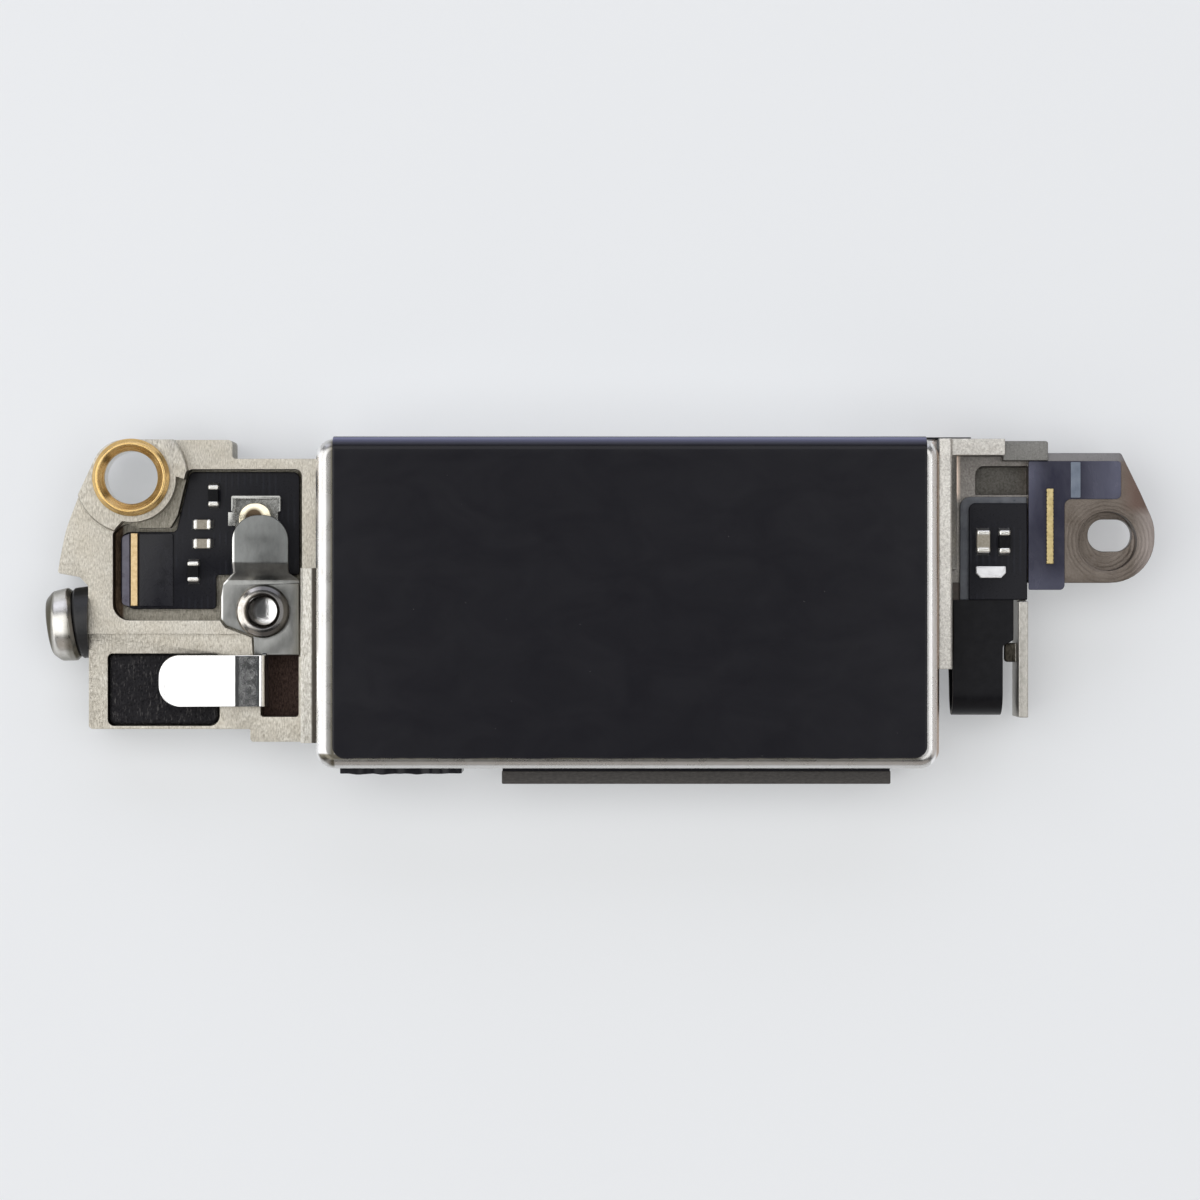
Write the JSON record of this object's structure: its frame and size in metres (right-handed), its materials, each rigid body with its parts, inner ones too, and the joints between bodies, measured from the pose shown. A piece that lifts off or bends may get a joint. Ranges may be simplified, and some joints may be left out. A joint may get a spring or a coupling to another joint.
{
  "type": "linear haptic actuator",
  "caption": "Flat rectangular linear vibration actuator with a screw bracket at each end, small circuit boards, sprung contacts and a folded flat ribbon.",
  "frame": {"origin": "centre of the underside of the rectangular case, which is the plane the part rests on", "axes": "+X along the case towards the end with the folded ribbon, +Z out through the lid, +Y across the case towards the side the lid film wraps over"},
  "size_m": [0.0331, 0.0103, 0.0033],
  "materials": {
    "case_steel": "satin",
    "black_film": "satin",
    "pad_foam": "matte",
    "soft_iron": "satin",
    "flex_black": "satin",
    "copper": "satin",
    "tungsten": "satin",
    "magnet": "satin",
    "spring_steel": "satin",
    "bumper_rubber": "matte",
    "chip_black": "satin",
    "bracket_metal": "matte",
    "brass": "satin",
    "pale_film": "satin",
    "blue_film": "gloss",
    "gold_plate": "gloss",
    "chip_ceramic": "satin",
    "tin": "gloss",
    "sheet_steel": "satin",
    "nut_steel": "gloss",
    "mirror_steel": "polished",
    "screw_steel": "gloss",
    "collar_plastic": "matte",
    "ear_metal": "satin"
  },
  "bodies": {
    "case": {"can_cover": "case_steel", "base_plate": "case_steel", "cover_label": "black_film", "rear_wall_tape": "black_film", "long_side_pad": "pad_foam", "short_side_tape": "pad_foam", "lower_stator_plate": "soft_iron", "upper_stator_plate": "soft_iron", "coil_flex": "flex_black", "lower_coils": "copper", "upper_coils": "copper", "upper_coil_lead": "flex_black", "right_leaf_spring": "spring_steel", "left_leaf_spring": "spring_steel", "wall_weld_plates": "spring_steel", "end_bumpers": "bumper_rubber", "hall_sensor": "chip_black", "left_bracket": "bracket_metal", "left_bush": "brass", "left_flex_board": "flex_black", "left_stiffener": "pale_film", "left_cover_film": "blue_film", "left_gold_bar": "gold_plate", "chip_capacitors": "chip_ceramic", "chip_resistors": "chip_black", "chip_terminals": "tin", "bright_chip": "tin", "spring_clip_base": "tin", "ground_plate": "sheet_steel", "press_nut": "nut_steel", "foam_pad": "pad_foam", "side_collar": "collar_plastic", "right_bracket": "ear_metal", "right_stiffener": "pale_film", "right_flex_board": "flex_black", "right_flex_ribbon": "flex_black", "right_cover_film": "blue_film", "right_gold_bar": "gold_plate", "right_film_strip": "pale_film", "right_leg": "sheet_steel"},
    "vibrating_mass": {"moving_mass": "tungsten", "magnets": "magnet", "mass_weld_plates": "spring_steel"},
    "finger": {"contact_finger": "mirror_steel"},
    "clip_finger": {"spring_clip_finger": "gold_plate"},
    "side_screw": {"side_stud": "screw_steel"}
  },
  "joints": [
    {"name": "mass_travel", "type": "slide", "parent": "case", "child": "vibrating_mass", "axis": [1, 0, 0], "range_m": [-0.0007, 0.0007], "stiffness_N_per_m": 1000, "deforming": ["left_leaf_spring", "right_leaf_spring"]},
    {"name": "finger_press", "type": "hinge", "parent": "case", "child": "finger", "pos_m": [-0.0108, -0.0023, 0.00198], "axis": [0, -1, 0], "range_deg": [0, 8], "stiffness_Nm_per_rad": 0.004},
    {"name": "clip_press", "type": "hinge", "parent": "case", "child": "clip_finger", "pos_m": [-0.01107, 0.0015, 0.00172], "axis": [-1, 0, 0], "range_deg": [0, 8], "stiffness_Nm_per_rad": 0.0005},
    {"name": "side_screw_turn", "type": "hinge", "parent": "case", "child": "side_screw", "pos_m": [-0.01603, -0.00055, 0.00125], "axis": [0.991, 0.134, 0], "continuous": true}
  ]
}
